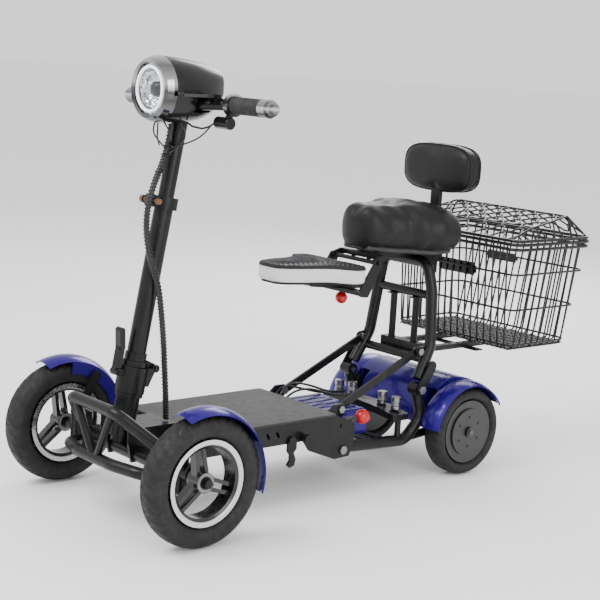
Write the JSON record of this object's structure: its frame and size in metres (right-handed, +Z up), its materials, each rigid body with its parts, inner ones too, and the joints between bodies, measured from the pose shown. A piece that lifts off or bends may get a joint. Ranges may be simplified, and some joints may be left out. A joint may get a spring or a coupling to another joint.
{
  "type": "folding mobility scooter",
  "caption": "Folding mobility scooter with a raked tiller, saddle and backrest, small child seat, lidded wire basket, front guard and hub-motor rear wheels.",
  "frame": {"origin": "on the floor, under the middle of the machine's length and width", "axes": "+X forward, +Y to the rider's left, +Z up"},
  "size_m": [1.294, 0.558, 0.9037],
  "materials": {
    "frame_black": "satin black powder coat",
    "deck_vinyl": "matt dark grey anti-slip",
    "battery_shell": "matt",
    "zinc_steel": "zinc plated",
    "lever_alloy": "satin",
    "brass_bolt": "yellow zinc plated",
    "loom_black": "black spiral wrapped",
    "gloss_black": "gloss",
    "chrome_trim": "polished",
    "lamp_mirror": "faceted reflector",
    "lamp_glass": "clear",
    "display_glass": "dark",
    "grip_rubber": "matt ribbed",
    "violet_gloss": "gloss deep blue-violet",
    "tyre_rubber": "matt",
    "rim_alloy": "satin, black spokes",
    "cover_black": "matt",
    "motor_black": "satin",
    "lever_red": "gloss red",
    "knob_red": "gloss red",
    "seat_leather": "soft black",
    "child_vinyl": "dark grey top, white side",
    "wire_black": "gloss black wire"
  },
  "bodies": {
    "chassis": {"deck_frame": "frame_black", "deck_plate": "deck_vinyl", "battery_pack": "battery_shell", "front_frame": "frame_black", "front_guard": "frame_black", "pivot_bolts": "zinc_steel"},
    "column": {"steering_column": "frame_black"},
    "stem": {"stem_lower": "frame_black", "height_clamp": "frame_black", "cable_harness": "loom_black"},
    "fold_lever": {"stem_fold_lever": "lever_alloy"},
    "clamp_screw": {"clamp_knob": "brass_bolt"},
    "mast": {"stem_upper": "frame_black", "handlebar": "frame_black", "headlight_shell": "gloss_black", "headlight_bezel": "chrome_trim", "headlight_reflector": "lamp_mirror", "headlight_lens": "lamp_glass", "dash_display": "display_glass", "grip_left": "grip_rubber", "grip_trims": "lever_alloy", "switch_pod": "gloss_black", "control_cables": "loom_black"},
    "throttle": {"throttle_grip": "grip_rubber"},
    "brake": {"brake_lever": "gloss_black"},
    "button": {"switch_button": "knob_red"},
    "steer_left": {"knuckle_left": "frame_black", "front_fender_left": "violet_gloss"},
    "steer_right": {"knuckle_right": "frame_black", "front_fender_right": "violet_gloss"},
    "front_wheel_left": {"front_tyre_left": "tyre_rubber", "front_rim_left": "rim_alloy"},
    "front_wheel_right": {"front_tyre_right": "tyre_rubber", "front_rim_right": "rim_alloy"},
    "track_rod": {"tie_rod": "zinc_steel"},
    "rear_chassis": {"rear_frame": "frame_black", "cross_plate": "frame_black", "suspension_springs": "zinc_steel", "vented_cover": "violet_gloss", "rear_cover": "violet_gloss", "rear_fenders": "violet_gloss"},
    "rear_wheel_left": {"rear_tyre_left": "tyre_rubber", "hub_motor_left": "motor_black"},
    "rear_wheel_right": {"rear_tyre_right": "tyre_rubber", "hub_motor_right": "motor_black"},
    "release": {"release_lever": "lever_red", "release_knob": "knob_red"},
    "braces": {"brace_bars": "frame_black"},
    "seat_group": {"seat_frame": "frame_black", "seat_frame_bolts": "zinc_steel", "basket_support": "frame_black", "saddle_bracket": "frame_black", "saddle": "seat_leather", "basket": "wire_black"},
    "lid": {"basket_lid": "wire_black"},
    "backrest": {"backrest_post": "frame_black", "backrest_pad": "seat_leather"},
    "child_seat": {"child_seat_pad": "child_vinyl", "child_seat_base": "frame_black"},
    "child_latch": {"child_seat_knob": "knob_red"}
  },
  "joints": [
    {"name": "steering", "type": "hinge", "parent": "chassis", "child": "column", "pos_m": [0.52775, 0, 0.19687], "axis": [-0.1762, 0, 0.9843], "range_deg": [-30, 30]},
    {"name": "kingpin_left", "type": "hinge", "parent": "chassis", "child": "steer_left", "pos_m": [0.5195, 0.188, 0.1275], "axis": [0, 0, 1], "range_deg": [-30, 30]},
    {"name": "kingpin_right", "type": "hinge", "parent": "chassis", "child": "steer_right", "pos_m": [0.5195, -0.188, 0.1275], "axis": [0, 0, 1], "range_deg": [-30, 30]},
    {"name": "track_rod_joint", "type": "hinge", "parent": "steer_left", "child": "track_rod", "pos_m": [0.4695, 0.188, 0.112], "axis": [0, 0, 1], "range_deg": [-30, 30]},
    {"name": "front_wheel_left_spin", "type": "hinge", "parent": "steer_left", "child": "front_wheel_left", "pos_m": [0.5195, 0.248, 0.1275], "axis": [0, 1, 0], "continuous": true},
    {"name": "front_wheel_right_spin", "type": "hinge", "parent": "steer_right", "child": "front_wheel_right", "pos_m": [0.5195, -0.248, 0.1275], "axis": [0, 1, 0], "continuous": true},
    {"name": "stem_fold", "type": "hinge", "parent": "column", "child": "stem", "pos_m": [0.47099, 0, 0.28982], "axis": [0, -1, 0], "range_deg": [0, 40], "deforming": ["cable_harness"]},
    {"name": "stem_fold_lever_swing", "type": "hinge", "parent": "column", "child": "fold_lever", "pos_m": [0.55197, 0, 0.28857], "axis": [0, 1, 0], "range_deg": [0, 60]},
    {"name": "clamp_screw_turn", "type": "hinge", "parent": "stem", "child": "clamp_screw", "pos_m": [0.48186, 0, 0.62346], "axis": [0, 1, 0], "range_deg": [0, 90]},
    {"name": "stem_height", "type": "slide", "parent": "stem", "child": "mast", "axis": [-0.1762, 0, 0.9843], "range_m": [0, 0.08]},
    {"name": "throttle_twist", "type": "hinge", "parent": "mast", "child": "throttle", "pos_m": [0.384, -0.165, 0.817], "axis": [0, 1, 0], "range_deg": [0, 60], "stiffness_Nm_per_rad": 0.4},
    {"name": "brake_pull", "type": "hinge", "parent": "mast", "child": "brake", "pos_m": [0.402, 0.084, 0.832], "axis": [0, 0, 1], "range_deg": [0, 20], "stiffness_Nm_per_rad": 1},
    {"name": "switch_press", "type": "slide", "parent": "mast", "child": "button", "axis": [0, 1, 0], "range_m": [0, 0.002], "stiffness_N_per_m": 400},
    {"name": "rear_fold", "type": "hinge", "parent": "chassis", "child": "rear_chassis", "pos_m": [0.056, 0, 0.094], "axis": [0, -1, 0], "range_deg": [0, 50]},
    {"name": "brace_swing", "type": "hinge", "parent": "chassis", "child": "braces", "pos_m": [0.039, 0, 0.174], "axis": [0, -1, 0], "range_deg": [0, 50]},
    {"name": "seat_level", "type": "hinge", "parent": "rear_chassis", "child": "seat_group", "pos_m": [-0.176, 0, 0.199], "axis": [0, -1, 0], "range_deg": [-50, 0]},
    {"name": "rear_wheel_left_spin", "type": "hinge", "parent": "rear_chassis", "child": "rear_wheel_left", "pos_m": [-0.288, 0.155, 0.1], "axis": [0, 1, 0], "continuous": true},
    {"name": "rear_wheel_right_spin", "type": "hinge", "parent": "rear_chassis", "child": "rear_wheel_right", "pos_m": [-0.288, -0.155, 0.1], "axis": [0, 1, 0], "continuous": true},
    {"name": "release_lift", "type": "hinge", "parent": "chassis", "child": "release", "pos_m": [0.066, 0.118, 0.148], "axis": [0, 1, 0], "range_deg": [0, 25]},
    {"name": "lid_open", "type": "hinge", "parent": "seat_group", "child": "lid", "pos_m": [-0.3715, 0, 0.5302], "axis": [0, 1, 0], "range_deg": [0, 55]},
    {"name": "backrest_height", "type": "slide", "parent": "seat_group", "child": "backrest", "axis": [0, 0, 1], "range_m": [0, 0.04]},
    {"name": "child_seat_lift", "type": "hinge", "parent": "seat_group", "child": "child_seat", "pos_m": [-0.07, 0, 0.482], "axis": [0, -1, 0], "range_deg": [0, 55]},
    {"name": "child_latch_pull", "type": "slide", "parent": "child_seat", "child": "child_latch", "axis": [0, 0, -1], "range_m": [0, 0.008], "stiffness_N_per_m": 500}
  ],
  "couplings": [
    {"joint": "kingpin_left", "follows": "steering", "ratio": 1},
    {"joint": "kingpin_right", "follows": "steering", "ratio": 1},
    {"joint": "track_rod_joint", "follows": "steering", "ratio": -1},
    {"joint": "brace_swing", "follows": "rear_fold", "ratio": 1},
    {"joint": "seat_level", "follows": "rear_fold", "ratio": -1}
  ]
}
